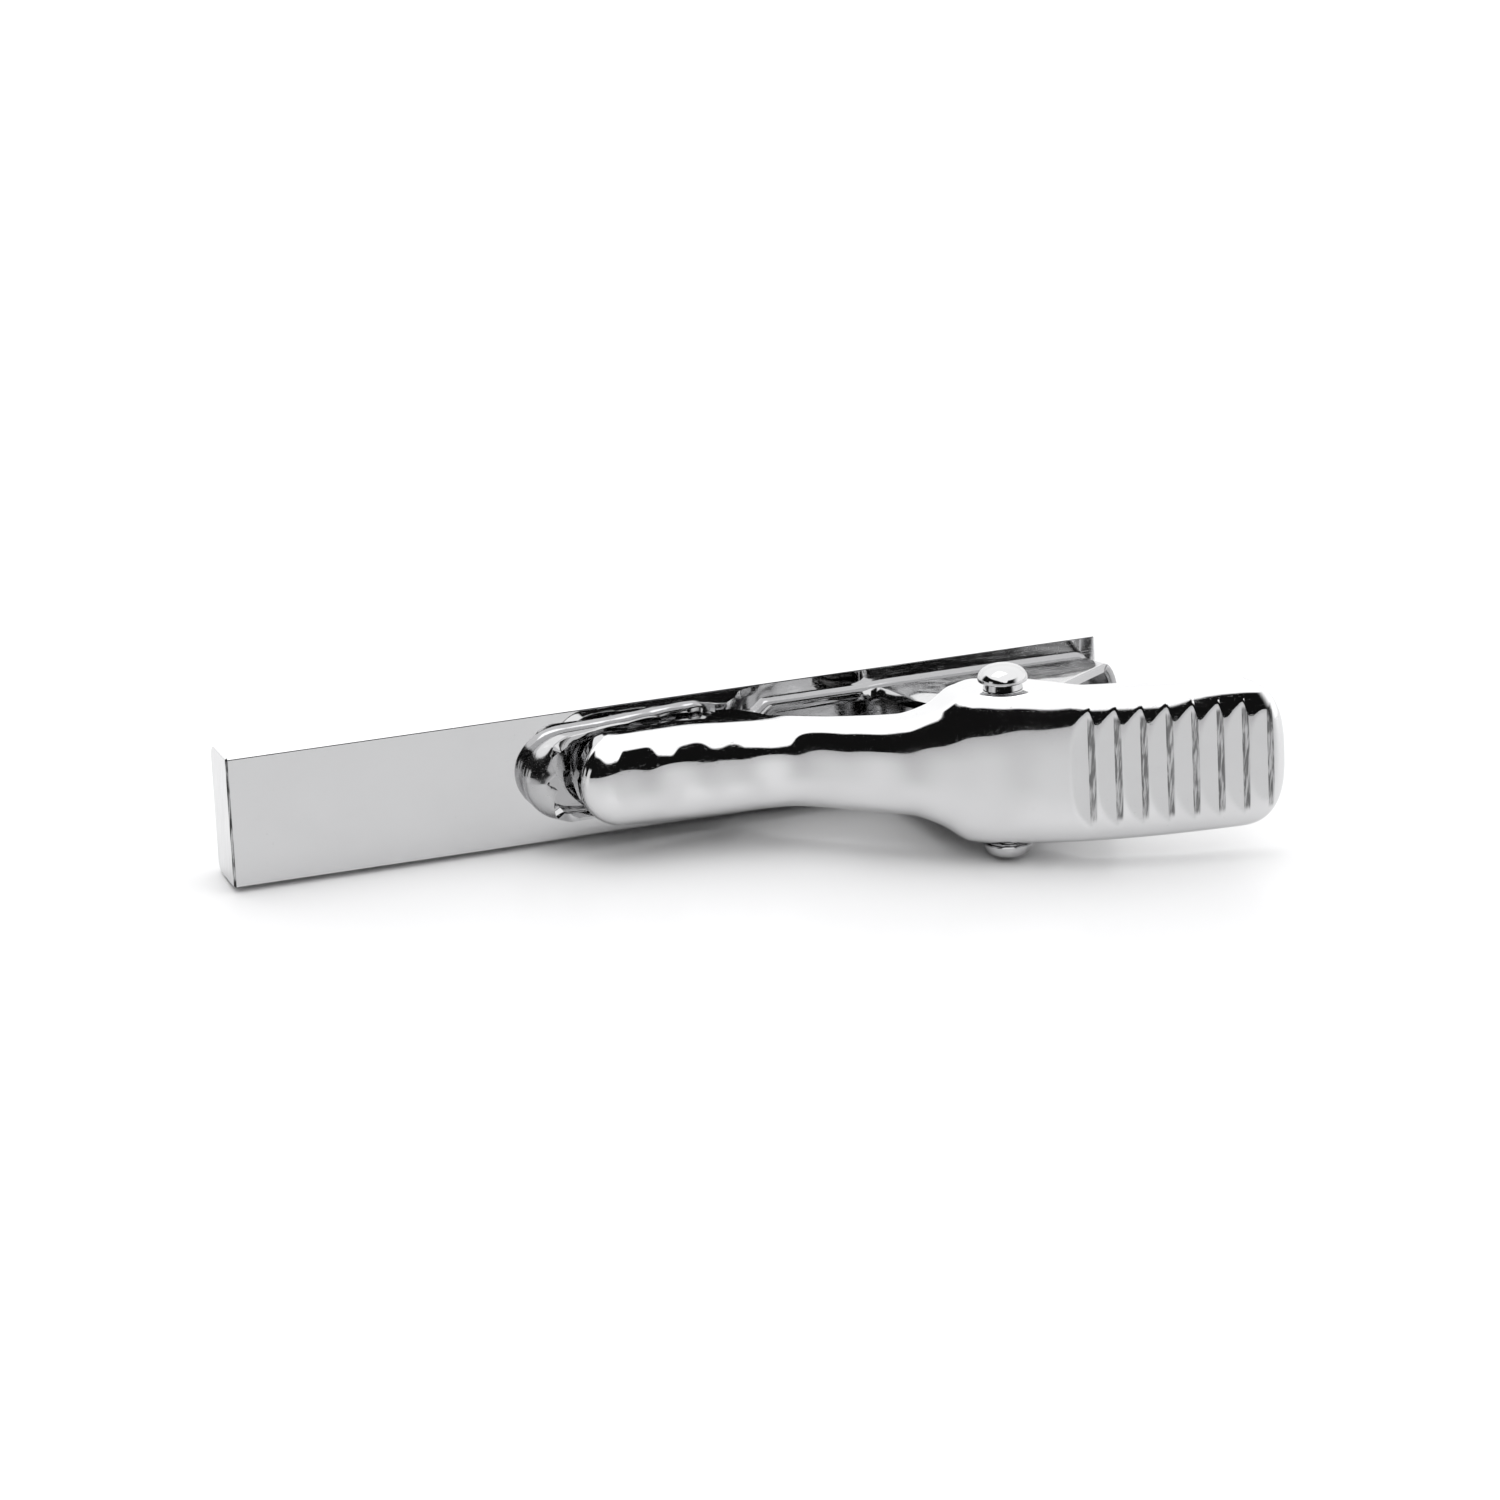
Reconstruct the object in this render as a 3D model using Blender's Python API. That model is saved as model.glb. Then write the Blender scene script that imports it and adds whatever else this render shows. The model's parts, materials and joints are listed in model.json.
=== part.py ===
"""A tie clip: a polished bar with a sprung alligator lever riveted to its back.

The parts are laid out in a working frame tied to the bar: X runs along the bar from the plain end
to the hinge end, Y is the bar's thickness (its back face is Y = 0, the clip stands on the -Y side)
and Z runs up across its width, with the bar's lower long edge at Z = 0.  Heights above the back
face are called h, so Y = -h.  At the end everything is leaned together onto the table, where the
clip stands on the lower front edge of the bar and on the lower head of the rivet.
"""

import math

import bmesh
import bpy
import numpy as np

MM = 0.001

# ---------------------------------------------------------------- driving sizes, in millimetres
BAR_LENGTH = 48.0
BAR_WIDTH = 7.0
BAR_THICKNESS = 3.2
BAR_FRONT_RADIUS = 0.7   # rounded long edges of the decorated face
BAR_EDGE_BREAK = 0.14    # small broken edge all round the back face

SHEET = 0.45             # thickness of the two stampings
FIT_GAP = 0.02           # gap kept between parts that are soldered or rivetted together
RUN_GAP = 0.06           # radial play of the lever on its rivet
SOLDER = 0.10            # solder left between the bar and the bracket
CLIP_RISE = 0.15         # the clip sits this much above the middle of the bar

PIVOT_X = 39.3           # hinge axis, from the plain end of the bar
PIVOT_H = 9.1            # hinge axis, above the back face
PIN_RADIUS = 0.85
COLLAR_RADIUS = 1.06     # thicker neck of the rivet outside the lever
HEAD_RADIUS = 1.32
HEAD_DOME = 0.75         # height of the domed part of each head
HEAD_RIM = 0.12          # straight rim under the dome
HEAD_LIFT_TOP = 0.42     # bare neck showing under the upper head
HEAD_LIFT_BOTTOM = 0.12

JAW_NOSE_X = 15.6        # nose of the bracket's jaw
JAW_HALF_WIDTH = 2.45
STRIP_HALF_WIDTH = 2.3   # flat strip joining the jaw to the hinge ears
WAIST_HALF_WIDTH = 1.75  # where the lever's last teeth pass either side of the strip
WAIST_END_X = 28.6
EAR_FOOT_HALF_WIDTH = 2.4
EAR_FLARE = 0.85         # the ears spread by this much from foot to crown
TAIL_HALF_WIDTH = 2.35
TAIL_FLARE = 0.3
NOSE_LEAN_IN = 1.35      # the jaw's end wall leans in by this much at its rim
TAIL_INSET = 0.1         # the bracket ends this far short of the bar's end
JAW_WALL = 1.4           # height of the jaw's rim at the nose
TAIL_WALL = 2.9          # height of the rim at the tail
EAR_CROWN = 1.3          # ear metal left above the hinge axis

LEVER_NOSE_X = 18.1
LEVER_END_X = 53.1
LEVER_JAW_HALF_WIDTH = 2.4
LEVER_NECK_HALF_WIDTH = 2.3
LEVER_PAD_HALF_WIDTH = 4.1
LEVER_END_HALF_WIDTH = 3.9
LEVER_NOSE_H = 3.55      # outer face of the lever at its nose
LEVER_NECK_H = 4.75      # at the neck, where it turns away from the bar
LEVER_PIVOT_H = 11.15    # over the hinge
LEVER_END_H = 14.35      # at the end of the thumb pad
LEVER_EDGE = 1.25        # rounding of the lever's long edges

STEPS = 8                # saw-tooth steps pressed into the thumb pad
STEP_PITCH = 1.32
STEP_FIRST_X = 42.8      # deepest line of the first step
STEP_DEPTH = 0.15
STEP_RAMP = 1.02         # length of the gentle side of a step
STEP_WALL = 0.22         # length of the steep side

TOOTH_PITCH = 1.75
TOOTH_DEPTH = 0.14       # scallops along the side rims
NOSE_TOOTH = 0.42        # larger teeth round the two noses

WIRE_RADIUS = 0.18
COIL_RADIUS = PIN_RADIUS + WIRE_RADIUS + 0.12  # to the centre of the wire
COIL_TURNS = 6
COIL_PITCH = 0.42


# ---------------------------------------------------------------- small helpers
def clear_scene():
    for old in list(bpy.data.objects):
        bpy.data.objects.remove(old, do_unlink=True)


def metal(name, colour, roughness):
    made = bpy.data.materials.new(name)
    made.use_nodes = True
    shader = made.node_tree.nodes["Principled BSDF"]
    shader.inputs["Base Color"].default_value = (*colour, 1.0)
    shader.inputs["Metallic"].default_value = 1.0
    shader.inputs["Roughness"].default_value = roughness
    return made


def add_object(name, mesh, material):
    made = bpy.data.objects.new(name, mesh)
    bpy.context.scene.collection.objects.link(made)
    mesh.materials.append(material)
    return made


def mesh_of(name, points, faces):
    """A mesh from points given as (x, h, z) in millimetres in the bar's frame."""
    mesh = bpy.data.meshes.new(name)
    mesh.from_pydata([(x * MM, -h * MM, z * MM) for x, h, z in points], [], faces)
    shape = bmesh.new()
    shape.from_mesh(mesh)
    bmesh.ops.remove_doubles(shape, verts=shape.verts, dist=1e-7)
    bmesh.ops.recalc_face_normals(shape, faces=shape.faces)
    shape.to_mesh(mesh)
    shape.free()
    return mesh


def smooth(obj, degrees=35):
    limit = math.radians(degrees)
    shape = bmesh.new()
    shape.from_mesh(obj.data)
    for face in shape.faces:
        face.smooth = True
    for edge in shape.edges:
        edge.smooth = edge.is_manifold and edge.calc_face_angle(0.0) < limit
    shape.to_mesh(obj.data)
    shape.free()


def cut(target, cutter, label):
    cutter.hide_render = True
    cutter.display_type = "WIRE"
    step = target.modifiers.new(label, "BOOLEAN")
    step.operation = "DIFFERENCE"
    step.solver = "EXACT"
    step.object = cutter


def curve_through(knots):
    """A smooth function through (x, value) knots that never overshoots them."""
    xs = np.array([k[0] for k in knots], float)
    ys = np.array([k[1] for k in knots], float)
    rise = np.diff(ys) / np.diff(xs)
    slope = np.zeros(len(xs))
    for k in range(1, len(xs) - 1):
        if rise[k - 1] * rise[k] > 0:
            slope[k] = 2 * rise[k - 1] * rise[k] / (rise[k - 1] + rise[k])
    slope[0] = rise[0]
    slope[-1] = rise[-1]

    def value(x):
        x = min(max(x, xs[0]), xs[-1])
        k = min(int(np.searchsorted(xs, x, side="right")) - 1, len(xs) - 2)
        step = xs[k + 1] - xs[k]
        u = (x - xs[k]) / step
        return float(
            ys[k] * (2 * u**3 - 3 * u**2 + 1)
            + step * slope[k] * (u**3 - 2 * u**2 + u)
            + ys[k + 1] * (3 * u**2 - 2 * u**3)
            + step * slope[k + 1] * (u**3 - u**2)
        )

    return value


def half_outline(start, nose, end, tail, half_width, squareness, count, end_count):
    """One side of a plan outline, from the nose tip to the tail tip, as (x, z from the centre line).

    The nose is round over the length `nose`; the tail is a squarer round over the length `tail`.
    """
    points = []
    for k in range(end_count):
        angle = 0.5 * math.pi * k / end_count
        x = start + nose * (1 - math.cos(angle))
        points.append((x, half_width(x) * math.sin(angle)))
    for k in range(count):
        x = start + nose + (end - tail - start - nose) * k / count
        points.append((x, half_width(x)))
    for k in range(end_count + 1):
        angle = 0.5 * math.pi * k / end_count
        x = end - tail + tail * math.sin(angle) ** (2 / squareness)
        points.append((x, half_width(x) * max(math.cos(angle), 0.0) ** (2 / squareness)))
    points[0] = (start, 0.0)
    points[-1] = (end, 0.0)
    return points


def drawn_shell(
    side, spine, centre, level, toward, edge_radius, rim, gather=lambda point: 0.0, columns=4, arcs=5
):
    """A cup drawn from sheet, as points (x, h, z) and faces.

    side      half outline from nose tip to tail tip
    spine     (x, x) between which the outline closes in on the centre line
    level     outer face height as a function of x
    toward    -1 if the walls run down from the face, +1 if they run up from it
    rim       height of the rim at each point of the half outline
    gather    how far the rim stands inside the outline at a point of the half outline
    """
    half = len(side)
    loop = [(x, z) for x, z in side] + [(x, -z) for x, z in side[-2:0:-1]]
    rims = list(rim) + list(rim[-2:0:-1])
    points = []

    def inset(point, by):
        x, z = point
        root = min(max(x, spine[0]), spine[1])
        reach = math.hypot(x - root, z)
        share = max(reach - by, 0.0) / reach
        return root + (x - root) * share, z * share

    def shell(depth, radius, drop):
        """The rings of one skin from the rim to the face; `depth` is how far it lies inside the outer."""
        rings = []
        ring = []
        for point, top in zip(loop, rims):
            x, z = inset(point, depth + gather(point))
            ring.append((x, top, z))
        rings.append(ring)
        for step in range(arcs + 1):
            angle = 0.5 * math.pi * step / arcs
            ring = []
            for point, top in zip(loop, rims):
                x, z = inset(point, depth + radius * (1 - math.cos(angle)))
                face = level(x) + toward * drop
                h = face + toward * radius * (1 - math.sin(angle))
                wall = 0.12 + 0.05 * step / arcs
                limit = top - toward * wall * (1 - step / (arcs + 1))
                if toward * (h - limit) > 0:
                    h = limit
                ring.append((x, h, z))
            rings.append(ring)
        return rings

    faces = []
    skins = []
    for depth, radius, drop in ((0.0, edge_radius, 0.0), (SHEET, edge_radius - SHEET, SHEET)):
        rings = shell(depth, radius, drop)
        numbers = []
        for ring in rings:
            numbers.append(list(range(len(points), len(points) + len(ring))))
            points.extend(ring)
        count = len(loop)
        for low, high in zip(numbers, numbers[1:]):
            for k in range(count):
                n = (k + 1) % count
                faces.append((low[k], low[n], high[n], high[k]))
        last = numbers[-1]
        rows = []
        for k in range(half):
            if k in (0, half - 1):
                rows.append([last[k]] * (columns + 1))
                continue
            a = points[last[k]]
            b = points[last[count - k]]
            row = [last[k]]
            for c in range(1, columns):
                u = c / columns
                row.append(len(points))
                points.append((a[0], a[1], a[2] + (b[2] - a[2]) * u))
            row.append(last[count - k])
            rows.append(row)
        for here, there in zip(rows, rows[1:]):
            for c in range(columns):
                corners = []
                for number in (here[c], here[c + 1], there[c + 1], there[c]):
                    if number not in corners:
                        corners.append(number)
                if len(corners) > 2:
                    faces.append(tuple(corners))
        skins.append(numbers[0])
    outer, inner = skins
    for k in range(len(loop)):
        n = (k + 1) % len(loop)
        faces.append((outer[k], outer[n], inner[n], inner[k]))
    return [(x, h, z + centre) for x, h, z in points], faces


def turned(profile, segments, centre_x, centre_h):
    """A solid of revolution about a line along Z, from (radius, z) pairs that start and end on it."""
    points = []
    rings = []
    for radius, z in profile:
        if radius < 1e-6:
            rings.append([len(points)] * segments)
            points.append((centre_x, centre_h, z))
            continue
        rings.append(list(range(len(points), len(points) + segments)))
        for k in range(segments):
            angle = 2 * math.pi * k / segments
            points.append((centre_x + radius * math.cos(angle), centre_h + radius * math.sin(angle), z))
    faces = []
    for low, high in zip(rings, rings[1:]):
        for k in range(segments):
            n = (k + 1) % segments
            corners = []
            for number in (low[k], low[n], high[n], high[k]):
                if number not in corners:
                    corners.append(number)
            if len(corners) > 2:
                faces.append(tuple(corners))
    return points, faces


def prism(outline, low, high):
    """A straight prism along Z over an (x, h) outline."""
    count = len(outline)
    points = [(x, h, low) for x, h in outline] + [(x, h, high) for x, h in outline]
    faces = [tuple(range(count)), tuple(range(2 * count - 1, count - 1, -1))]
    for k in range(count):
        n = (k + 1) % count
        faces.append((k, k + count, n + count, n))
    return points, faces


def swept_wire(path, radius, sides):
    """A round wire along a path of (x, h, z) points, closed flat at both ends."""
    spots = [np.array(p, float) for p in path]
    points = []
    faces = []
    normal = np.array((0.0, 0.0, 1.0))
    for k, spot in enumerate(spots):
        ahead = spots[min(k + 1, len(spots) - 1)] - spots[max(k - 1, 0)]
        ahead = ahead / np.linalg.norm(ahead)
        normal = normal - ahead * float(normal @ ahead)
        normal = normal / np.linalg.norm(normal)
        across = np.cross(ahead, normal)
        for s in range(sides):
            angle = 2 * math.pi * s / sides
            corner = spot + radius * (math.cos(angle) * normal + math.sin(angle) * across)
            points.append(tuple(float(v) for v in corner))
    for k in range(len(spots) - 1):
        for s in range(sides):
            n = (s + 1) % sides
            a = k * sides
            b = a + sides
            faces.append((a + s, a + n, b + n, b + s))
    faces.append(tuple(range(sides - 1, -1, -1)))
    faces.append(tuple(range(len(points) - sides, len(points))))
    return points, faces


# ---------------------------------------------------------------- shared lines of the clip
CENTRE_Z = 0.5 * BAR_WIDTH + CLIP_RISE
FLOOR_H = SOLDER + 2 * FIT_GAP
BRACKET_END_X = BAR_LENGTH - TAIL_INSET
STRIP_RIM = FLOOR_H + SHEET + 0.22


def scallop(x, start, depth):
    """Shallow round-bottomed teeth along a rim."""
    return depth * abs(math.sin(math.pi * (x - start) / TOOTH_PITCH))


def nose_teeth(point, nose_x, reach, depth):
    """Two pointed teeth round the end of a jaw, fading out where the side rims begin."""
    x, z = point
    if x > nose_x + reach:
        return 0.0
    share = z / JAW_HALF_WIDTH
    wave = 1 - abs(((share * 1.16) % 1.0) * 2 - 1)
    fade = 1 - (x - nose_x) / reach
    return depth * (2 * wave - 1) * min(1.0, 2.5 * fade)


# ---------------------------------------------------------------- the bar
def make_bar():
    bpy.ops.mesh.primitive_cube_add(size=1)
    bar = bpy.context.active_object
    bar.name = "front_bar"
    bar.scale = (BAR_LENGTH * MM, BAR_THICKNESS * MM, BAR_WIDTH * MM)
    bar.location = (0.5 * BAR_LENGTH * MM, 0.5 * BAR_THICKNESS * MM, 0.5 * BAR_WIDTH * MM)
    bpy.ops.object.transform_apply(location=True, rotation=False, scale=True)
    shape = bmesh.new()
    shape.from_mesh(bar.data)
    front = [
        edge
        for edge in shape.edges
        if all(v.co.y > 0.5 * BAR_THICKNESS * MM for v in edge.verts)
        and abs(edge.verts[0].co.z - edge.verts[1].co.z) < 1e-6
    ]
    bmesh.ops.bevel(
        shape, geom=front, offset=BAR_FRONT_RADIUS * MM, segments=6, profile=0.5, affect="EDGES"
    )
    sharp = [edge for edge in shape.edges if edge.calc_face_angle(0.0) > math.radians(60)]
    bmesh.ops.bevel(
        shape, geom=sharp, offset=BAR_EDGE_BREAK * MM, segments=2, profile=0.5, affect="EDGES"
    )
    shape.to_mesh(bar.data)
    shape.free()
    bar.data.materials.append(metal("bar_chrome", (0.80, 0.80, 0.81), 0.06))
    smooth(bar, 30)
    return bar


# ---------------------------------------------------------------- the bracket with the fixed jaw
JAW_END_X = 25.6
bracket_half_width = curve_through(
    [
        (JAW_NOSE_X, JAW_HALF_WIDTH - 0.1),
        (JAW_NOSE_X + 4.0, JAW_HALF_WIDTH),
        (JAW_END_X, JAW_HALF_WIDTH + 0.3),
        (JAW_END_X + 1.0, WAIST_HALF_WIDTH),
        (WAIST_END_X, WAIST_HALF_WIDTH),
        (WAIST_END_X + 0.9, STRIP_HALF_WIDTH),
        (PIVOT_X - 5.2, STRIP_HALF_WIDTH),
        (PIVOT_X - 2.2, EAR_FOOT_HALF_WIDTH),
        (PIVOT_X + 2.2, EAR_FOOT_HALF_WIDTH),
        (BRACKET_END_X, TAIL_HALF_WIDTH),
    ]
)


bracket_lean = curve_through(
    [
        (JAW_NOSE_X, NOSE_LEAN_IN),
        (JAW_NOSE_X + 2.6, 0.1),
        (JAW_END_X + 1.0, 0.0),
        (PIVOT_X - 5.2, 0.0),
        (PIVOT_X - 1.5, -EAR_FLARE),
        (PIVOT_X + 1.5, -EAR_FLARE),
        (BRACKET_END_X, -TAIL_FLARE),
    ]
)
ear_rise = curve_through(
    [
        (PIVOT_X - 4.4, STRIP_RIM),
        (PIVOT_X - 4.0, STRIP_RIM + 0.4),
        (PIVOT_X - 3.4, 0.55 * PIVOT_H),
        (PIVOT_X - 2.6, 0.84 * PIVOT_H),
        (PIVOT_X - 0.8 * EAR_CROWN, PIVOT_H + 0.6 * EAR_CROWN),
    ]
)


def bracket_gather(point):
    """How far the bracket's rim stands inside its outline: teeth point inwards round the nose."""
    return bracket_lean(point[0]) + nose_teeth(point, JAW_NOSE_X, 2.6, 0.7 * NOSE_TOOTH)


def bracket_rim(point):
    """Height of the bracket's rim at a point of its outline."""
    x, z = point
    jaw_rim = FLOOR_H + JAW_WALL
    side_rim = FLOOR_H + 0.92
    if x < JAW_NOSE_X + 4.0:
        share = (x - JAW_NOSE_X) / 4.0
        return jaw_rim + (side_rim - jaw_rim) * share**2
    if x < JAW_END_X:
        share = (x - JAW_NOSE_X - 4.0) / (JAW_END_X - JAW_NOSE_X - 4.0)
        return side_rim - 0.22 * share - scallop(x, JAW_NOSE_X + 4.0, TOOTH_DEPTH)
    if x < PIVOT_X - 0.8 * EAR_CROWN:
        return ear_rise(x)
    if x < PIVOT_X + 0.8 * EAR_CROWN:
        return PIVOT_H + math.sqrt(EAR_CROWN**2 - (x - PIVOT_X) ** 2)
    shoulder_x = PIVOT_X + 0.8 * EAR_CROWN
    shoulder = PIVOT_H + 0.6 * EAR_CROWN
    share = min((x - shoulder_x) / (BRACKET_END_X - 0.4 - shoulder_x), 1.0)
    return shoulder + (TAIL_WALL - shoulder) * share


def make_bracket():
    side = half_outline(
        JAW_NOSE_X, 2.6, BRACKET_END_X, 0.9, bracket_half_width, 3.0, 100, 16
    )
    rim = [bracket_rim(point) for point in side]
    points, faces = drawn_shell(
        side,
        (JAW_NOSE_X + 2.6, BRACKET_END_X - 0.9),
        CENTRE_Z,
        lambda x: FLOOR_H,
        1,
        0.85,
        rim,
        bracket_gather,
        columns=3,
        arcs=4,
    )
    bracket = add_object(
        "jaw_bracket", mesh_of("jaw_bracket", points, faces), metal("bracket_chrome", (0.74, 0.74, 0.75), 0.12)
    )
    smooth(bracket)
    return bracket


def make_solder():
    side = half_outline(
        JAW_NOSE_X + 0.95,
        1.3,
        BRACKET_END_X - 0.95,
        0.6,
        lambda x: bracket_half_width(x) - 0.95,
        3.0,
        40,
        6,
    )
    outline = [(x, z) for x, z in side] + [(x, -z) for x, z in side[-2:0:-1]]
    count = len(outline)
    low = FIT_GAP
    high = FIT_GAP + SOLDER
    points = [(x, low, z + CENTRE_Z) for x, z in outline]
    points += [(x, high, z + CENTRE_Z) for x, z in outline]
    faces = [tuple(range(count)), tuple(range(2 * count - 1, count - 1, -1))]
    for k in range(count):
        n = (k + 1) % count
        faces.append((k, k + count, n + count, n))
    return add_object(
        "solder_layer", mesh_of("solder_layer", points, faces), metal("solder", (0.62, 0.62, 0.60), 0.4)
    )


# ---------------------------------------------------------------- the lever
lever_half_width = curve_through(
    [
        (LEVER_NOSE_X, LEVER_JAW_HALF_WIDTH),
        (LEVER_NOSE_X + 6.0, LEVER_JAW_HALF_WIDTH + 0.05),
        (29.0, LEVER_NECK_HALF_WIDTH),
        (PIVOT_X - 4.9, LEVER_NECK_HALF_WIDTH + 0.25),
        (PIVOT_X - 3.5, LEVER_NECK_HALF_WIDTH + 0.75),
        (PIVOT_X - 2.1, LEVER_PAD_HALF_WIDTH - 0.15),
        (PIVOT_X - 0.6, LEVER_PAD_HALF_WIDTH),
        (PIVOT_X + 3.0, LEVER_PAD_HALF_WIDTH),
        (LEVER_END_X, LEVER_END_HALF_WIDTH),
    ]
)
lever_level = curve_through(
    [
        (LEVER_NOSE_X, LEVER_NOSE_H),
        (LEVER_NOSE_X + 4.3, LEVER_NOSE_H + 0.35),
        (LEVER_NOSE_X + 8.0, LEVER_NECK_H - 0.35),
        (29.0, LEVER_NECK_H + 0.25),
        (31.5, LEVER_NECK_H + 1.85),
        (34.5, LEVER_PIVOT_H - 2.55),
        (36.5, LEVER_PIVOT_H - 1.3),
        (PIVOT_X, LEVER_PIVOT_H),
        (PIVOT_X + 2.6, LEVER_PIVOT_H + 0.9),
        (PIVOT_X + 3.4, LEVER_PIVOT_H + 1.35),
        (PIVOT_X + 8.0, LEVER_END_H - 0.75),
        (LEVER_END_X, LEVER_END_H),
    ]
)
lever_depth = curve_through(
    [
        (LEVER_NOSE_X, 1.85),
        (LEVER_NOSE_X + 3.0, 2.15),
        (LEVER_NOSE_X + 5.5, 2.75),
        (JAW_END_X, 3.2),
        (JAW_END_X + 1.6, 4.0),
        (JAW_END_X + 2.4, 3.4),
        (JAW_END_X + 3.2, 2.4),
        (31.0, 2.3),
        (PIVOT_X - 4.0, 2.6),
        (PIVOT_X - 2.2, 3.2),
        (PIVOT_X - 0.8, 4.0),
        (PIVOT_X + 0.8, 4.0),
        (PIVOT_X + 2.6, 2.9),
        (PIVOT_X + 4.0, 1.95),
        (LEVER_END_X, 1.9),
    ]
)


def lever_rim(point):
    """Height of the lever's rim at a point of its outline: scalloped along the jaw, toothed at the nose."""
    x, z = point
    rim = lever_level(x) - lever_depth(x)
    if x < LEVER_NOSE_X + 2.0:
        return rim + nose_teeth(point, LEVER_NOSE_X, 2.0, 0.5 * NOSE_TOOTH)
    if x < JAW_END_X + 1.0:
        return rim + scallop(x, LEVER_NOSE_X + 2.0, TOOTH_DEPTH)
    return rim


def make_lever():
    side = half_outline(
        LEVER_NOSE_X, 2.2, LEVER_END_X, 2.6, lever_half_width, 2.7, 84, 14
    )
    rim = [lever_rim(point) for point in side]
    points, faces = drawn_shell(
        side,
        (LEVER_NOSE_X + 2.2, LEVER_END_X - 2.6),
        CENTRE_Z,
        lever_level,
        -1,
        LEVER_EDGE,
        rim,
        columns=4,
        arcs=5,
    )
    lever = add_object(
        "lever", mesh_of("lever", points, faces), metal("lever_chrome", (0.80, 0.80, 0.81), 0.07)
    )

    hole = turned(
        [(0, -3), (PIN_RADIUS + RUN_GAP, -3), (PIN_RADIUS + RUN_GAP, 10), (0, 10)], 40, PIVOT_X, PIVOT_H
    )
    reamer = add_object("cut_lever_hole", mesh_of("cut_lever_hole", *hole), lever.data.materials[0])
    cut(lever, reamer, "pin holes")

    wide = LEVER_PAD_HALF_WIDTH + 1.0
    over = 0.4
    for k in range(STEPS):
        x = STEP_FIRST_X + k * STEP_PITCH
        h = lever_level(x)
        lean = math.atan2(lever_level(x + 0.5) - lever_level(x - 0.5), 1.0)
        ramp = STEP_RAMP * (1 + over / STEP_DEPTH)
        wall = STEP_WALL * (1 + over / STEP_DEPTH)
        outline = []
        for u, v in ((-ramp, over), (0.0, -STEP_DEPTH), (wall, over)):
            outline.append(
                (x + u * math.cos(lean) - v * math.sin(lean), h + u * math.sin(lean) + v * math.cos(lean))
            )
        wedge = prism(outline, CENTRE_Z - wide, CENTRE_Z + wide)
        name = f"cut_step_{k + 1}"
        cutter = add_object(name, mesh_of(name, *wedge), lever.data.materials[0])
        cut(lever, cutter, f"step {k + 1}")
    smooth(lever)
    return lever


# ---------------------------------------------------------------- the rivet and the spring
def make_pin():
    top = CENTRE_Z + LEVER_PAD_HALF_WIDTH + HEAD_LIFT_TOP
    low = CENTRE_Z - LEVER_PAD_HALF_WIDTH - HEAD_LIFT_BOTTOM
    profile = [(0, low - HEAD_RIM - HEAD_DOME)]
    for k in range(1, 9):
        angle = 0.5 * math.pi * k / 8
        profile.append(
            (HEAD_RADIUS * math.sin(angle), low - HEAD_RIM - HEAD_DOME * math.cos(angle))
        )
    collar_top = CENTRE_Z + LEVER_PAD_HALF_WIDTH + FIT_GAP
    collar_low = CENTRE_Z - LEVER_PAD_HALF_WIDTH - FIT_GAP
    profile += [(HEAD_RADIUS, low), (COLLAR_RADIUS, low), (COLLAR_RADIUS, collar_low)]
    profile += [(PIN_RADIUS, collar_low), (PIN_RADIUS, collar_top)]
    profile += [(COLLAR_RADIUS, collar_top), (COLLAR_RADIUS, top), (HEAD_RADIUS, top)]
    for k in range(8, 0, -1):
        angle = 0.5 * math.pi * k / 8
        profile.append(
            (HEAD_RADIUS * math.sin(angle), top + HEAD_RIM + HEAD_DOME * math.cos(angle))
        )
    profile.append((0, top + HEAD_RIM + HEAD_DOME))
    pin = add_object(
        "hinge_rivet",
        mesh_of("hinge_rivet", *turned(profile, 40, PIVOT_X, PIVOT_H)),
        metal("rivet_chrome", (0.78, 0.78, 0.79), 0.08),
    )
    smooth(pin)
    return pin


def make_spring():
    """A coil round the rivet; both its legs run to the tail, one on the bracket and one under the pad."""
    low = CENTRE_Z - 0.5 * COIL_TURNS * COIL_PITCH
    floor = FLOOR_H + SHEET + WIRE_RADIUS + 0.04
    foot_x = BRACKET_END_X - 2.4
    start = math.radians(-60)
    coil_x = PIVOT_X + COIL_RADIUS * math.cos(start)
    coil_h = PIVOT_H + COIL_RADIUS * math.sin(start)
    # The lower leg lies on the bracket's floor and climbs to the coil.
    path = [(foot_x + 0.9, floor + 0.02, low)]
    for k in range(7):
        share = k / 7
        path.append((foot_x + (coil_x - foot_x) * share, floor + (coil_h - floor) * share, low))
    sweep = 2 * math.pi * COIL_TURNS - math.radians(60)
    total = COIL_TURNS * 14
    for k in range(total + 1):
        share = k / total
        angle = start - sweep * share
        path.append(
            (
                PIVOT_X + COIL_RADIUS * math.cos(angle),
                PIVOT_H + COIL_RADIUS * math.sin(angle),
                low + COIL_TURNS * COIL_PITCH * share,
            )
        )
    # The upper leg follows the underside of the thumb pad.
    high = low + COIL_TURNS * COIL_PITCH
    for x in (PIVOT_X + 2.4, PIVOT_X + 3.6, PIVOT_X + 4.8, PIVOT_X + 6.0, PIVOT_X + 7.2):
        path.append((x, lever_level(x) - 1.25 * SHEET - WIRE_RADIUS - 0.12, high))
    spring = add_object(
        "torsion_spring",
        mesh_of("torsion_spring", *swept_wire(path, WIRE_RADIUS, 8)),
        metal("spring_steel", (0.45, 0.45, 0.46), 0.3),
    )
    smooth(spring, 60)
    return spring


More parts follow.
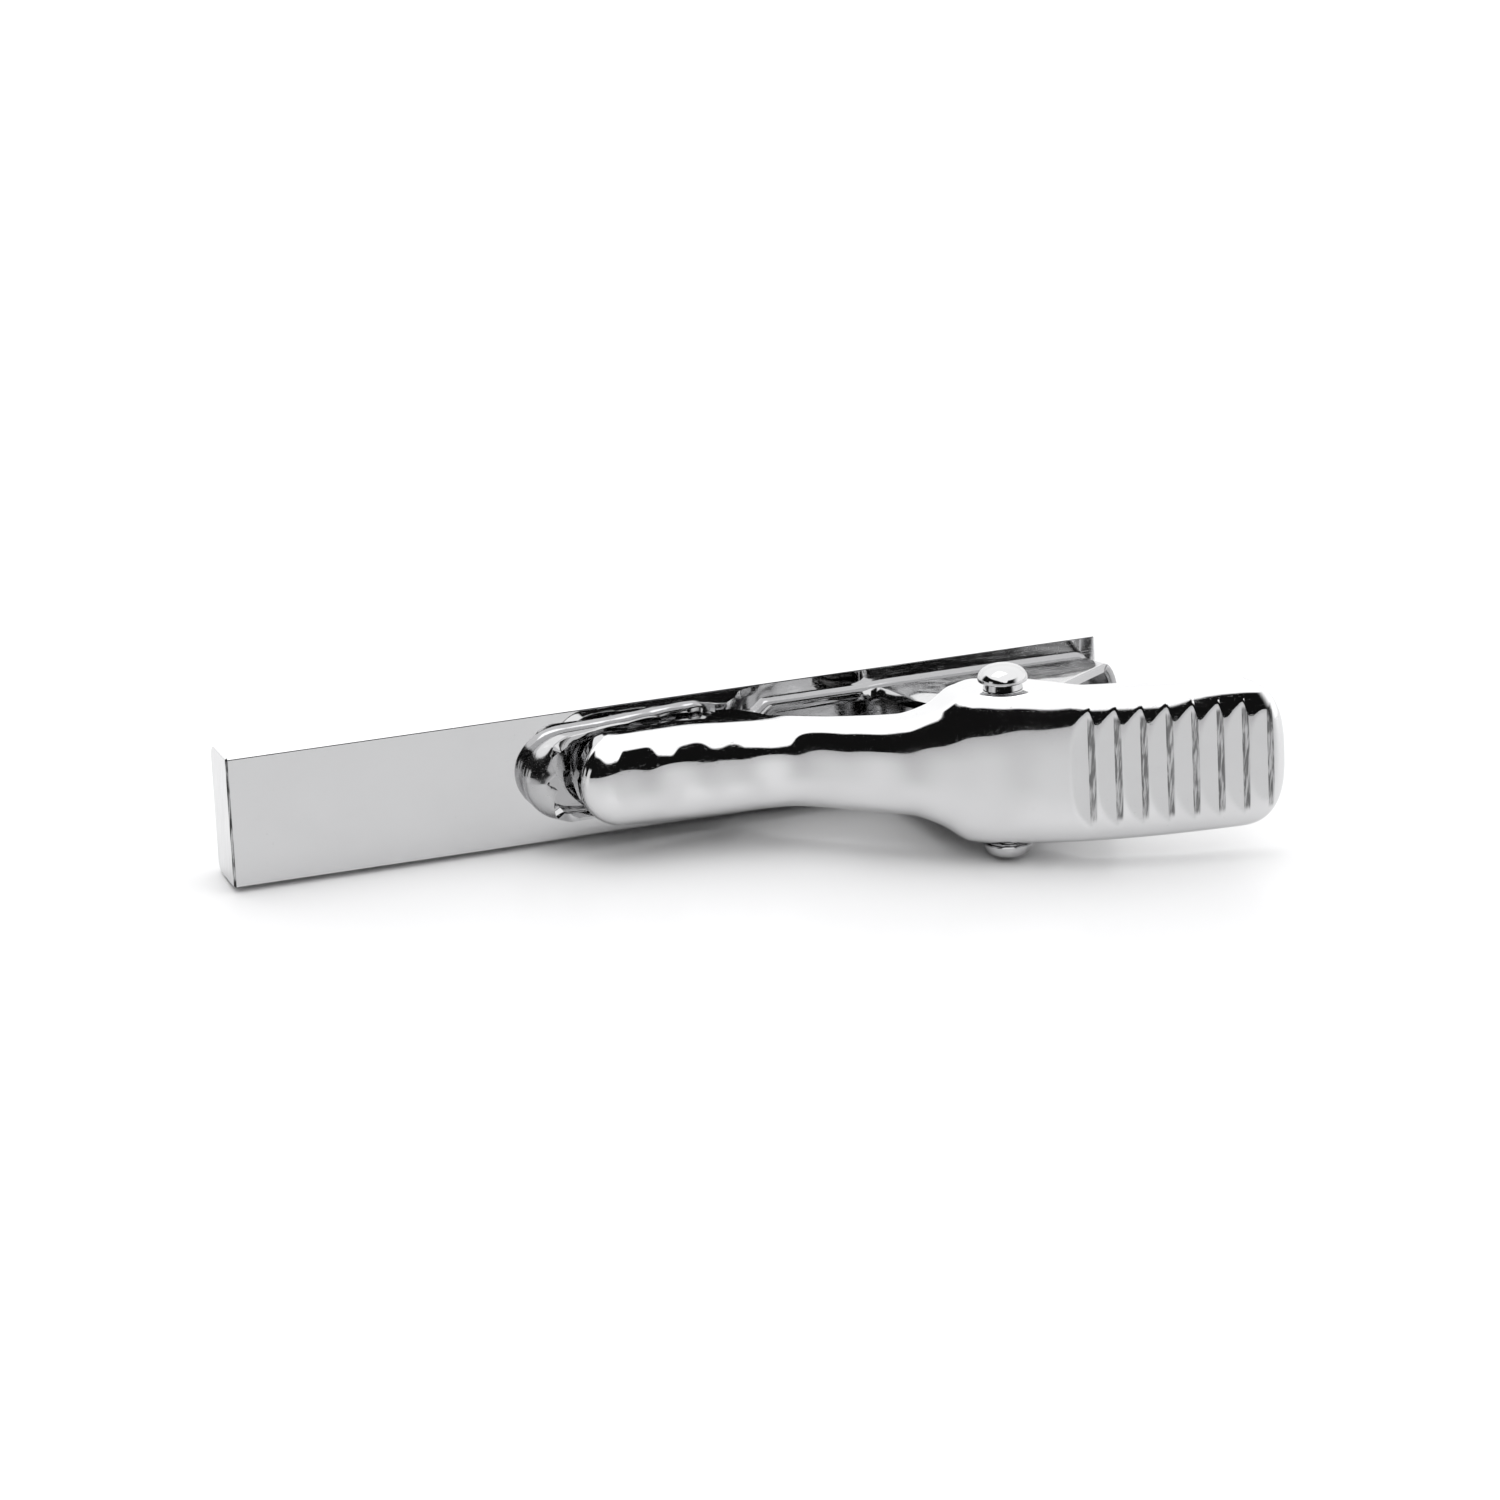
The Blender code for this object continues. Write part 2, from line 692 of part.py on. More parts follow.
# ---------------------------------------------------------------- standing it on the table
def lean_onto_table(objects, origins):
    """Turn everything about X until the bar's lower front edge and the lower rivet head touch Z = 0."""
    edge = np.array((BAR_THICKNESS - BAR_FRONT_RADIUS, BAR_FRONT_RADIUS))
    head = np.array([(v.co.y / MM, v.co.z / MM) for v in bpy.data.objects["hinge_rivet"].data.vertices])

    def miss(lean):
        """How much lower the bar's round edge would sit than the rivet's head."""
        normal = np.array((math.sin(lean), math.cos(lean)))
        return float(normal @ edge) - BAR_FRONT_RADIUS - float((head @ normal).min())

    low = math.radians(-20)
    high = math.radians(5)
    for _ in range(60):
        lean = 0.5 * (low + high)
        if miss(lean) * miss(high) > 0:
            high = lean
        else:
            low = lean
    corners = []
    for obj in objects:
        for v in obj.data.vertices:
            y = v.co.y * math.cos(lean) - v.co.z * math.sin(lean)
            z = v.co.y * math.sin(lean) + v.co.z * math.cos(lean)
            corners.append((v.co.x, y, z))
    corners = np.array(corners)
    mid = 0.5 * (corners.min(axis=0) + corners.max(axis=0))
    drop = corners[:, 2].min()
    move = np.array((-mid[0], -mid[1], -drop))

    def place(x, y, z):
        turned_y = y * math.cos(lean) - z * math.sin(lean)
        turned_z = y * math.sin(lean) + z * math.cos(lean)
        return np.array((x, turned_y, turned_z)) + move

    for obj in bpy.data.objects:
        if obj.type != "MESH":
            continue
        origin = place(*origins[obj.name]) if obj.name in origins else np.zeros(3)
        for v in obj.data.vertices:
            v.co = place(*v.co) - origin
        obj.location = origin
    print(f"lean {math.degrees(lean):.3f} degrees, moved {np.round(move * 1000, 4)} mm")


def main():
    clear_scene()
    nodes = [make_bar(), make_bracket(), make_solder(), make_lever(), make_pin(), make_spring()]
    bracket = nodes[1]
    bore = turned(
        [(0, -3), (PIN_RADIUS + FIT_GAP, -3), (PIN_RADIUS + FIT_GAP, 10), (0, 10)], 40, PIVOT_X, PIVOT_H
    )
    reamer = add_object("cut_ear_hole", mesh_of("cut_ear_hole", *bore), bracket.data.materials[0])
    cut(bracket, reamer, "ear holes")
    axis = (PIVOT_X * MM, -PIVOT_H * MM, CENTRE_Z * MM)
    origins = {"lever": axis, "hinge_rivet": axis, "torsion_spring": axis}
    lean_onto_table(nodes, origins)


main()
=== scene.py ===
# %% [markdown]
# # A tie clip in bright chrome
# The clip is a polished bar with an alligator lever riveted to a toothed bracket on its back.
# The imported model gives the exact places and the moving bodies.  This script makes the pieces that
# are seen: smooth pressed sheet, a turned rivet, a wound spring, and plating with the faint marks
# that handling leaves.  Sizes are written in millimetres in the bar's own directions.

import json
import math

import bmesh
import bpy
from mathutils import Matrix, Vector


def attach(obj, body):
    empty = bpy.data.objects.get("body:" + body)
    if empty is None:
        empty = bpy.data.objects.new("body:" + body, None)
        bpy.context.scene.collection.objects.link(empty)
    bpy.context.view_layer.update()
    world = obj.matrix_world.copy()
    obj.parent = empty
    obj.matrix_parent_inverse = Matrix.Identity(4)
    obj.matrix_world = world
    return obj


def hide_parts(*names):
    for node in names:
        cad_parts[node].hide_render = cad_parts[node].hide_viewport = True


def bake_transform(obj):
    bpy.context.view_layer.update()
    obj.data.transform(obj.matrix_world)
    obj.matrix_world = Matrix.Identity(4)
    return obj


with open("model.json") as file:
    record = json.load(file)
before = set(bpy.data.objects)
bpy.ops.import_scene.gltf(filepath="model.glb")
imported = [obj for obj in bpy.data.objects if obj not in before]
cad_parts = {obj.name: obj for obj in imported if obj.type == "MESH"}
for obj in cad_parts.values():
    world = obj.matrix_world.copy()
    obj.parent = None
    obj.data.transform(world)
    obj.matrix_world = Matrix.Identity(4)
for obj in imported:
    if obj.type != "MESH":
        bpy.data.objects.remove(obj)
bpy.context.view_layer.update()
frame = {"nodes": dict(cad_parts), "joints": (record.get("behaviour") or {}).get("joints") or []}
MM = 0.001

# %% [markdown]
# ## The bar's own directions
# The clip leans back on the table, so nothing on it is upright.  A maker would still think along
# the bar: X from the plain end to the hinge, height h away from the bar's back, and Z across its
# width.  The hinge axis runs along Z, so the joint's axis and place say how that frame stands on
# the table, and one matrix carries every finished piece there.

# %% From the bar's directions to the table
PIVOT_X = 39.3
PIVOT_H = 9.1
CENTRE_Z = 3.65

hinge = frame["joints"][0]
lean = -math.atan2(hinge["axis"][1], hinge["axis"][2])
turn = Matrix.Rotation(lean, 4, "X")
pivot_on_bar = Vector((PIVOT_X, -PIVOT_H, CENTRE_Z)) * MM
STAND = Matrix.Translation(Vector(hinge["pos_m"]) - turn @ pivot_on_bar) @ turn
print(f"the bar leans {math.degrees(lean):.2f} degrees about its length")

# %% [markdown]
# ## Hand tools
# The same few moves come back for every piece: pick one object, open it for editing, apply a
# modifier, and hand the finished piece over.  Everything is deselected first, because the packed
# parts arrive selected and an operator would work on them as well.

# %% Small hand tools
def alone(obj):
    """Leave object mode's selection on this object only."""
    bpy.ops.object.select_all(action="DESELECT")
    obj.select_set(True)
    bpy.context.view_layer.objects.active = obj


def edit(obj, kind="VERT"):
    """Open the object for editing with nothing selected, and give its mesh."""
    alone(obj)
    bpy.ops.object.mode_set(mode="EDIT")
    bpy.ops.mesh.select_mode(type=kind)
    bpy.ops.mesh.select_all(action="DESELECT")
    return bmesh.from_edit_mesh(obj.data)


def done(obj):
    """Write the edits back and leave edit mode."""
    bmesh.update_edit_mesh(obj.data)
    bpy.ops.object.mode_set(mode="OBJECT")


def apply_modifier(obj, name, kind, **settings):
    """Add a modifier with these settings and make its result the object's own shape."""
    alone(obj)
    step = obj.modifiers.new(name, kind)
    for key, value in settings.items():
        setattr(step, key, value)
    bpy.ops.object.modifier_apply(modifier=step.name)


def finish_piece(obj, material, body, slot, *nodes, angle=35, flat=False):
    """Smooth it, stand it on the table with the rest, give it its material, hang it on its body and
    hide the packed parts it replaces.

    The body is a name; two points may be given instead, but they are not used and the piece is left
    fixed in place.
    """
    alone(obj)
    bpy.ops.object.shade_smooth_by_angle(angle=math.radians(angle))
    obj.matrix_world = STAND @ obj.matrix_world
    bpy.ops.object.transform_apply(location=True, rotation=True, scale=True)
    if flat:
        settings = {"mode": "FACE_AREA", "weight": 50, "keep_sharp": True}
        apply_modifier(obj, "flat_faces", "WEIGHTED_NORMAL", **settings)
    obj.data.materials.clear()
    obj.data.materials.append(material)
    if isinstance(body, str):
        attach(obj, body)
    else:
        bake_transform(obj)
    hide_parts(*nodes)
    print(f"{obj.name}: {len(obj.data.polygons)} faces")
    return obj


# %% [markdown]
# ## Writing shader sums
# Plating is described with a few sums on noise: how hazy, how scratched, how wavy.  A small class
# wraps a node's output so that those sums read as ordinary Python, and one method adds any node.

# %% A class for shader sums
class Signal:
    """The output of a shader node, with the arithmetic that the finishes use."""

    def __init__(self, socket):
        self.socket = socket

    @classmethod
    def node(cls, tree, kind, settings=None, inputs=None, out=0):
        """Any node: its settings, its inputs as numbers or signals, and the output wanted."""
        made = tree.nodes.new(kind)
        for key, value in (settings or {}).items():
            setattr(made, key, value)
        for key, value in (inputs or {}).items():
            if isinstance(value, Signal):
                tree.links.new(value.socket, made.inputs[key])
            else:
                made.inputs[key].default_value = value
        return cls(made.outputs[out])

    def sum_with(self, operation, first, second):
        """One math node on two inputs."""
        settings = {"operation": operation}
        return Signal.node(self.socket.id_data, "ShaderNodeMath", settings, {0: first, 1: second})

    def __add__(self, other):
        return self.sum_with("ADD", self, other)

    __radd__ = __add__

    def __sub__(self, other):
        return self.sum_with("SUBTRACT", self, other)

    def __rsub__(self, other):
        return self.sum_with("SUBTRACT", other, self)

    def __mul__(self, other):
        return self.sum_with("MULTIPLY", self, other)

    __rmul__ = __mul__

    def parts(self):
        """A vector's three numbers."""
        split = Signal.node(self.socket.id_data, "ShaderNodeSeparateXYZ", None, {0: self})
        return [Signal(number) for number in split.socket.node.outputs]

    def fraction(self):
        """What is left over after the whole number."""
        return Signal.node(self.socket.id_data, "ShaderNodeMath", {"operation": "FRACT"}, {0: self})

    def between(self, low, high):
        """0 below low, 1 above high, and a smooth step between them."""
        settings = {"interpolation_type": "SMOOTHSTEP"}
        inputs = {0: self, 1: low, 2: high}
        return Signal.node(self.socket.id_data, "ShaderNodeMapRange", settings, inputs)


def noise(place, scale, detail=3.0, stretch=(1, 1, 1), turn=(0, 0, 0)):
    """Soft noise; a small number in stretch draws it out along that direction."""
    tree = place.socket.id_data
    inputs = {"Vector": place, "Rotation": turn, "Scale": stretch}
    moved = Signal.node(tree, "ShaderNodeMapping", None, inputs)
    grain = {"Vector": moved, "Scale": scale, "Detail": detail}
    return Signal.node(tree, "ShaderNodeTexNoise", None, grain)


# %% [markdown]
# ## Marks that belong to one place
# Some marks sit at a place on the bar and not just anywhere, such as the painted shade at the foot
# of the pad's steps.  A mapping node undoes the lean, so that a mark can be placed by the same
# measurements as the metal.

# %% Places measured on the bar
def on_the_bar(place):
    """The same place in the bar's own directions, in metres, as three signals."""
    tree = place.socket.id_data
    settings = {"vector_type": "TEXTURE"}
    inputs = {"Vector": place, "Location": STAND.to_translation(), "Rotation": (lean, 0, 0)}
    return Signal.node(tree, "ShaderNodeMapping", settings, inputs).parts()


# %% [markdown]
# ## Plating
# Chrome is almost a mirror.  What makes it look real is small: a breath of haze from handling,
# a few hair scratches that run along the piece, pin-prick specks, and a faint waviness left by the
# polishing wheel, which makes reflections wander.  The roughness and a very shallow bump carry
# them all.

# %% Plated metal
def plated(name, grey, polish, haze=0.05, scratches=0.12, wave=0.5, dark_mask=None, dark_mask_tone=0.05):
    """Chrome of one grey.  An optional mask of (x, y, z) on the bar's directions darkens the colour
    where it is given.
    """
    material = bpy.data.materials.new(name)
    material.use_nodes = True
    tree = material.node_tree
    shader = tree.nodes["Principled BSDF"]
    place = Signal.node(tree, "ShaderNodeTexCoord", out="Object")

    breath = noise(place, 240, 5).between(0.42, 0.75)
    long_hair = noise(place, 900, 2, stretch=(1, 26, 26), turn=(0.1, 0.05, 0.2)).between(0.63, 0.70)
    cross_hair = noise(place, 700, 2, stretch=(24, 2, 24), turn=(0.4, 0.3, 0.9)).between(0.66, 0.72)
    hair = long_hair + 0.7 * cross_hair
    pricks = noise(place, 5200, 1).between(0.72, 0.80) * noise(place, 520, 2).between(0.5, 0.6)
    wear_and_shade = 0.5 * pricks + 0.15 * breath
    rough = polish + haze * breath + scratches * hair + 0.175 * pricks
    wear_and_shade_tone = 0.80
    # The optional mask darkens the colour: on the lever it is painted shade at the steps, on the bar a
    # dark line at the plain end.
    if dark_mask:
        streaks = noise(place, 9000, 3, stretch=(1, 1, 0.05)).between(0.36, 0.60)
        masked_dark = dark_mask(*on_the_bar(place)) * (0.35 + 0.65 * streaks)
        wear_and_shade = 0.2 * wear_and_shade + masked_dark
        rough = rough + 0.12 * masked_dark
        wear_and_shade_tone = dark_mask_tone
    tree.links.new(rough.socket, shader.inputs["Roughness"])

    colours = {0: wear_and_shade, 6: (*grey, 1.0), 7: (*[wear_and_shade_tone * c for c in grey], 1.0)}
    tone = Signal.node(tree, "ShaderNodeMix", {"data_type": "RGBA"}, colours, 2)
    tree.links.new(tone.socket, shader.inputs["Base Color"])
    height = wave * noise(place, 330, 2) + 0.010 * hair + 0.03 * pricks
    bump = {"Strength": 0.35, "Distance": 0.00006, "Height": height}
    surface = Signal.node(tree, "ShaderNodeBump", None, bump)
    tree.links.new(surface.socket, shader.inputs["Normal"])
    shader.inputs["Metallic"].default_value = 1.0
    print("plated:", name)
    return material


def end_edge_dark_line(x, y, z):
    """A dark line along the plain end's back edge, and a slightly darker end face."""
    line = (1.0 - x.between(0.10 * MM, 0.14 * MM)) * (1.0 - y.between(0.10 * MM, 0.14 * MM))
    return line + 0.16 * (1.0 - x.between(0.02 * MM, 0.06 * MM))


# The bar's colour is darkened to a dark line along the plain end's back edge, and a little on the end
# face.
BAR_CHROME = plated("bar_chrome", (0.70, 0.70, 0.705), 0.035, wave=0.2, dark_mask=end_edge_dark_line)
BRACKET_CHROME = plated(
    "bracket_chrome", (0.46, 0.46, 0.465), 0.07, haze=0.10, scratches=0.2, wave=1.6
)
RIVET_CHROME = plated("rivet_chrome", (0.53, 0.53, 0.535), 0.05, haze=0.08)
SPRING_STEEL = plated("spring_steel", (0.36, 0.355, 0.35), 0.24, haze=0.1, scratches=0.2)
TIN = plated("solder_tin", (0.42, 0.42, 0.41), 0.42, haze=0.15, scratches=0.1, wave=3.0)

# %% [markdown]
# ## The bar
# The bar is sheared from flat stock and polished.  The long edges of its front are rounded, so a
# block with two bevelled edges is already its shape; a second, much finer bevel breaks every other
# edge, because an edge with no width never catches the light.

# %% The bar
BAR_LENGTH = 48.0
BAR_WIDTH = 7.0
BAR_THICKNESS = 3.2
FRONT_ROUND = 0.71
EDGE_BREAK = 0.12


def make_bar():
    """A block with its two long front edges rounded and every other edge broken."""
    bpy.ops.object.select_all(action="DESELECT")
    centre = (0.5 * BAR_LENGTH * MM, 0.5 * BAR_THICKNESS * MM, 0.5 * BAR_WIDTH * MM)
    bpy.ops.mesh.primitive_cube_add(size=1, location=centre)
    bar = bpy.context.object
    bar.name = "polished_bar"
    bar.scale = (BAR_LENGTH * MM, BAR_THICKNESS * MM, BAR_WIDTH * MM)
    bpy.ops.object.transform_apply(location=True, rotation=True, scale=True)
    shape = edit(bar, "EDGE")
    for edge in shape.edges:
        on_front = all(v.co.y > 0.5 * BAR_THICKNESS * MM for v in edge.verts)
        along = abs(edge.verts[0].co.x - edge.verts[1].co.x) > MM
        edge.select_set(on_front and along)
    bpy.ops.mesh.bevel(offset=FRONT_ROUND * MM, segments=10, profile=0.5)
    bpy.ops.mesh.select_all(action="DESELECT")
    shape = bmesh.from_edit_mesh(bar.data)
    for edge in shape.edges:
        edge.select_set(edge.calc_face_angle(0.0) > math.radians(50))
    bpy.ops.mesh.bevel(offset=EDGE_BREAK * MM, segments=4, profile=0.5)
    done(bar)
    return finish_piece(bar, BAR_CHROME, "bar", "bar_chrome", "front_bar", angle=30, flat=True)


make_bar()

# %% [markdown]
# ## Pressed sheet
# The lever and the bracket are both stamped from thin sheet and drawn into a trough.  A grid is
# the natural start: it is laid inside the plan outline, its middle is lifted to the crown of the
# part, its open edge is extruded ring by ring into the wall, and Solidify then gives the sheet its
# thickness.  Each vertex keeps its row, column and ring as whole numbers, so the shape is a rule
# and not a list of points.

# %% [markdown]
# ## A line for each measure
# A pressing changes its width, height and depth along its length.  Each of these is a smooth line
# through a few measured points.  The slopes are chosen so that the line never swings past a point,
# as a spline would, because such a swing shows at once in a mirror finish.

# %% Smooth lines through a few measured points
def line_through(*knots):
    """A smooth function through (x, value) knots that never overshoots them."""
    xs = [k[0] for k in knots]
    ys = [k[1] for k in knots]
    rise = [(ys[k + 1] - ys[k]) / (xs[k + 1] - xs[k]) for k in range(len(xs) - 1)]
    slope = [rise[0]] + [0.0] * (len(xs) - 2) + [rise[-1]]
    for k in range(1, len(xs) - 1):
        if rise[k - 1] * rise[k] > 0:
            slope[k] = 2 * rise[k - 1] * rise[k] / (rise[k - 1] + rise[k])

    def value(x):
        x = min(max(x, xs[0]), xs[-1])
        k = max(i for i in range(len(xs) - 1) if xs[i] <= x)
        step = xs[k + 1] - xs[k]
        u = (x - xs[k]) / step
        return (
            ys[k] * (2 * u**3 - 3 * u**2 + 1)
            + step * slope[k] * (u**3 - 2 * u**2 + u)
            + ys[k + 1] * (3 * u**2 - 2 * u**3)
            + step * slope[k + 1] * (u**3 - u**2)
        )

    return value


# %% [markdown]
# ## The outline in plan
# Seen from above, both pressings are long shapes with a round nose and a squarer tail.  Near the
# ends the edge is an arc and, at the tail, a superellipse.  The rows of the grid crowd together
# there, so that the arc stays smooth.

# %% A plan outline
NOSE_ROWS = 16
TAIL_ROWS = 22
ROW_GAP = 0.012


class Outline:
    """A long plan shape with a round nose and a squarer tail, symmetrical about its centre line."""

    def __init__(self, start, nose, end, tail, half_width, squareness):
        self.start, self.nose, self.end, self.tail = start, nose, end, tail
        self.half_width, self.squareness = half_width, squareness

    def edge(self, x):
        """Half width at x, with the ends rounded off."""
        if x < self.start + self.nose:
            u = (self.start + self.nose - x) / self.nose
            return self.half_width(x) * math.sqrt(max(1 - u * u, 0.0))
        if x > self.end - self.tail:
            u = (x - self.end + self.tail) / self.tail
            return self.half_width(x) * max(1 - u**self.squareness, 0.0) ** (1 / self.squareness)
        return self.half_width(x)

    def share(self, x, z):
        """0 on the spine and 1 on the outline."""
        v = abs(z) / self.half_width(x)
        if x < self.start + self.nose:
            u = (self.start + self.nose - x) / self.nose
            return min(math.hypot(u, v), 1.0)
        if x > self.end - self.tail:
            u = (x - self.end + self.tail) / self.tail
            return min((u**self.squareness + v**self.squareness) ** (1 / self.squareness), 1.0)
        return min(v, 1.0)

    def inset(self, x, z, by):
        """The point moved towards the spine."""
        root = min(max(x, self.start + self.nose), self.end - self.tail)
        reach = math.hypot(x - root, z)
        share = max(reach - by, 0.0) / reach
        return root + (x - root) * share, z * share

    def rows(self, spacing, extra=()):
        """Where the grid's rows lie: close together at the round ends and on any extra lines."""
        places = list(extra)
        for k in range(NOSE_ROWS):
            places.append(self.start + self.nose * (1 - math.cos(math.radians(10 + 5 * k))))
        for k in range(TAIL_ROWS):
            angle = math.radians(4 * k)
            places.append(self.end - self.tail + self.tail * math.sin(angle) ** (2 / self.squareness))
        straight = self.end - self.tail - self.start - self.nose
        count = int(straight / spacing)
        for k in range(count):
            x = self.start + self.nose + straight * k / count
            if all(abs(x - e) > 0.6 * spacing for e in extra):
                places.append(x)
        places.sort()
        kept = places[:1]
        for x in places[1:]:
            if x - kept[-1] > ROW_GAP:
                kept.append(x)
        return kept


# %% [markdown]
# ## Laying the grid
# The primitive grid has exactly as many rows and columns as the outline needs.  Its open edge is
# extruded once for each ring of the wall.  Then every vertex looks up its row, column and ring and
# goes to its place: crown points on the arch of the part, ring points down the wall.

# %% Laying the grid and drawing its wall
EDGE_CROWDING = 0.7  # columns stand closer together near the edge, where the arch turns
END_ROWS = 7         # rows over which the last straight row swells into the round end
SHEET = 0.45         # thickness of both pressings
SHEET_EDGE = 0.05


def number_points(sheet, rows, columns):
    """Write each vertex's row and column on it, with ring 0 for the flat grid."""
    shape = edit(sheet, "EDGE")
    row = shape.verts.layers.int.new("row")
    column = shape.verts.layers.int.new("column")
    shape.verts.layers.int.new("ring")
    for v in shape.verts:
        v[row] = round((v.co.x + 1) / 2 * (len(rows) - 1))
        v[column] = round((v.co.y + 1) / 2 * (columns - 1))
    bmesh.update_edit_mesh(sheet.data)


def extrude_rings(sheet, rings):
    """Extrude the open edge again and again, and number the rings."""
    bpy.ops.mesh.select_non_manifold()
    for number in range(1, rings + 1):
        bpy.ops.mesh.extrude_region_move(TRANSFORM_OT_translate={"value": (0, 0, -0.1)})
        shape = bmesh.from_edit_mesh(sheet.data)
        ring = shape.verts.layers.int["ring"]
        for v in shape.verts:
            if v.select:
                v[ring] = number
    return shape


def drawn_sheet(name, outline, rows, columns, rings, crown, wall, outward):
    """A grid inside the outline at height crown(x, z, share), with its wall at wall(x, z, share).

    The share is 0 on the spine and 1 at the edge, or 0 at the top of the wall and 1 at its rim.
    The outer side faces the direction along Y that outward gives, 1 or -1.
    """
    bpy.ops.object.select_all(action="DESELECT")
    bpy.ops.mesh.primitive_grid_add(x_subdivisions=len(rows) - 1, y_subdivisions=columns - 1, size=2)
    sheet = bpy.context.object
    sheet.name = name
    number_points(sheet, rows, columns)
    shape = extrude_rings(sheet, rings)
    row, column, ring = (shape.verts.layers.int[key] for key in ("row", "column", "ring"))
    for v in shape.verts:
        x = rows[v[row]]
        across = 2 * v[column] / (columns - 1) - 1
        side = math.copysign(abs(math.sin(0.5 * math.pi * across)) ** EDGE_CROWDING, across)
        z = outline.edge(x) * side
        at_nose = max(1 - v[row] / END_ROWS, 0.0) ** 2
        at_tail = max(1 - (len(rows) - 1 - v[row]) / END_ROWS, 0.0) ** 2
        bulge = (rows[0] - outline.start) * at_nose - (outline.end - rows[-1]) * at_tail
        x -= bulge * (1 - side**2)
        on_edge = v[row] in (0, len(rows) - 1) or v[column] in (0, columns - 1)
        if v[ring]:
            x, h, z = wall(x, z, v[ring] / rings)
        else:
            h = crown(x, z, 1.0 if on_edge else outline.share(x, z))
        v.co = Vector((x, -h, z + CENTRE_Z)) * MM
    bmesh.update_edit_mesh(sheet.data)
    bpy.ops.mesh.select_all(action="SELECT")
    bpy.ops.mesh.normals_make_consistent(inside=False)
    shape = bmesh.from_edit_mesh(sheet.data)
    facing = sum(f.normal.y * f.calc_area() for f in shape.faces)
    if facing * outward < 0:
        bpy.ops.mesh.flip_normals()
    done(sheet)
    print(f"{name}: {len(rows)} rows of {columns} and a wall of {rings} rings")
    return sheet


def give_thickness(sheet):
    """Thicken the sheet inwards and break its edges."""
    settings = {"thickness": SHEET * MM, "offset": -1.0, "use_even_offset": True}
    apply_modifier(sheet, "sheet", "SOLIDIFY", **settings)
    soften = {"width": SHEET_EDGE * MM, "segments": 2, "limit_method": "ANGLE"}
    apply_modifier(sheet, "edges", "BEVEL", angle_limit=math.radians(55), **soften)


# %% [markdown]
# ## The lever
# The lever is the clip's show side: a toothed nose, a neck, a shoulder over the hinge and a thumb
# pad with pressed saw-tooth steps.  Its section is a flattened arch, so light runs from a white top
# through a dark band to a pale face.  The steps are cut as planes: wherever a plane lies lower than
# the arch, the arch takes its height, which gives each step its hooked end.

# %% Lines of the lever
NOSE_X = 18.1
PAD_END_X = 53.1
EDGE_DROP = 1.25  # from the crown of the arch to the top of the wall

lever_half = line_through(
    (18.1, 2.4), (24.1, 2.45), (29.0, 2.3), (34.4, 2.55), (35.8, 3.05),
    (37.2, 3.95), (38.7, 4.1), (42.3, 4.1), (53.1, 3.9),
)
lever_top = line_through(
    (18.1, 3.55), (22.4, 3.9), (26.1, 4.4), (29.0, 5.0), (31.5, 6.6), (34.5, 8.6), (36.5, 9.85),
    (39.3, 11.15), (41.7, 12.02), (42.9, 12.42), (47.3, 13.5), (53.1, 14.42),
)
lever_depth = line_through(
    (18.1, 1.85), (21.1, 2.15), (23.6, 2.75), (25.6, 3.2), (27.2, 4.0), (28.0, 3.4), (28.8, 2.4),
    (31.0, 2.3), (35.3, 2.6), (37.1, 3.2), (38.5, 4.0), (40.1, 4.0), (41.9, 2.9), (43.3, 1.95),
    (53.1, 1.9),
)
lever_outline = Outline(NOSE_X, 2.2, PAD_END_X, 2.6, lever_half, 2.7)

# %% [markdown]
# ## Steps of the thumb pad
# Eight saw-tooth steps give the thumb its grip.  Each has a long ramp and a short steep side.  Rows
# of the grid are laid exactly on both, because a ridge between two rows would be lost.  Fine dark
# lines at the foot of the steep side are painted shade, darkened into the lever's colour.

# %% Steps of the thumb pad
STEPS = 8
STEP_PITCH = 1.32
STEP_FIRST_X = 42.8
STEP_DEPTH = 0.19
STEP_RAMP = 1.03
STEP_WALL = 0.22


def step_painted_shade(x, y, z):
    """Painted shade: dark lines at the foot and up the steep side of each step."""
    count = (x - STEP_FIRST_X * MM) * (1000 / STEP_PITCH)
    line = 1.0 - (count + 0.06).fraction().between(0.20, 0.26)
    among = count.between(-0.2, -0.1) * (1.0 - count.between(STEPS - 0.6, STEPS - 0.5))
    low = z.between(0.7 * MM, 1.1 * MM) * (1.0 - z.between(6.2 * MM, 6.5 * MM))
    return line * among * low


def step_cut(x):
    """How far the steps lie below the pad's centre line."""
    for k in range(STEPS):
        past = x - (STEP_FIRST_X + k * STEP_PITCH)
        if -STEP_RAMP <= past <= 0:
            return STEP_DEPTH * (1 + past / STEP_RAMP)
        if 0 < past <= STEP_WALL:
            return STEP_DEPTH * (1 - past / STEP_WALL)
    return 0.0


# Painted shade: the steps' steep sides are darkened towards a quarter of the lever's grey.
LEVER_CHROME = plated("lever_chrome", (0.66, 0.66, 0.665), 0.03, dark_mask=step_painted_shade, dark_mask_tone=0.25)

step_rows = []
for k in range(STEPS):
    deepest = STEP_FIRST_X + k * STEP_PITCH
    step_rows += [deepest - STEP_RAMP * (1 - j / 12) for j in range(12)]
    step_rows += [deepest + STEP_WALL * j / 4 for j in range(5)]
print(len(step_rows), "rows of the grid lie on the pad's steps")

# %% [markdown]
# ## The lever's surface
# The top is a flattened arch.  Polishing leaves slow waves along the jaw, less than a twentieth of a
# millimetre deep, and they are what makes the dark reflection wander.  They die out at the pad,
# which is pressed hard against the die.  The rim has teeth at the nose and scallops behind them.

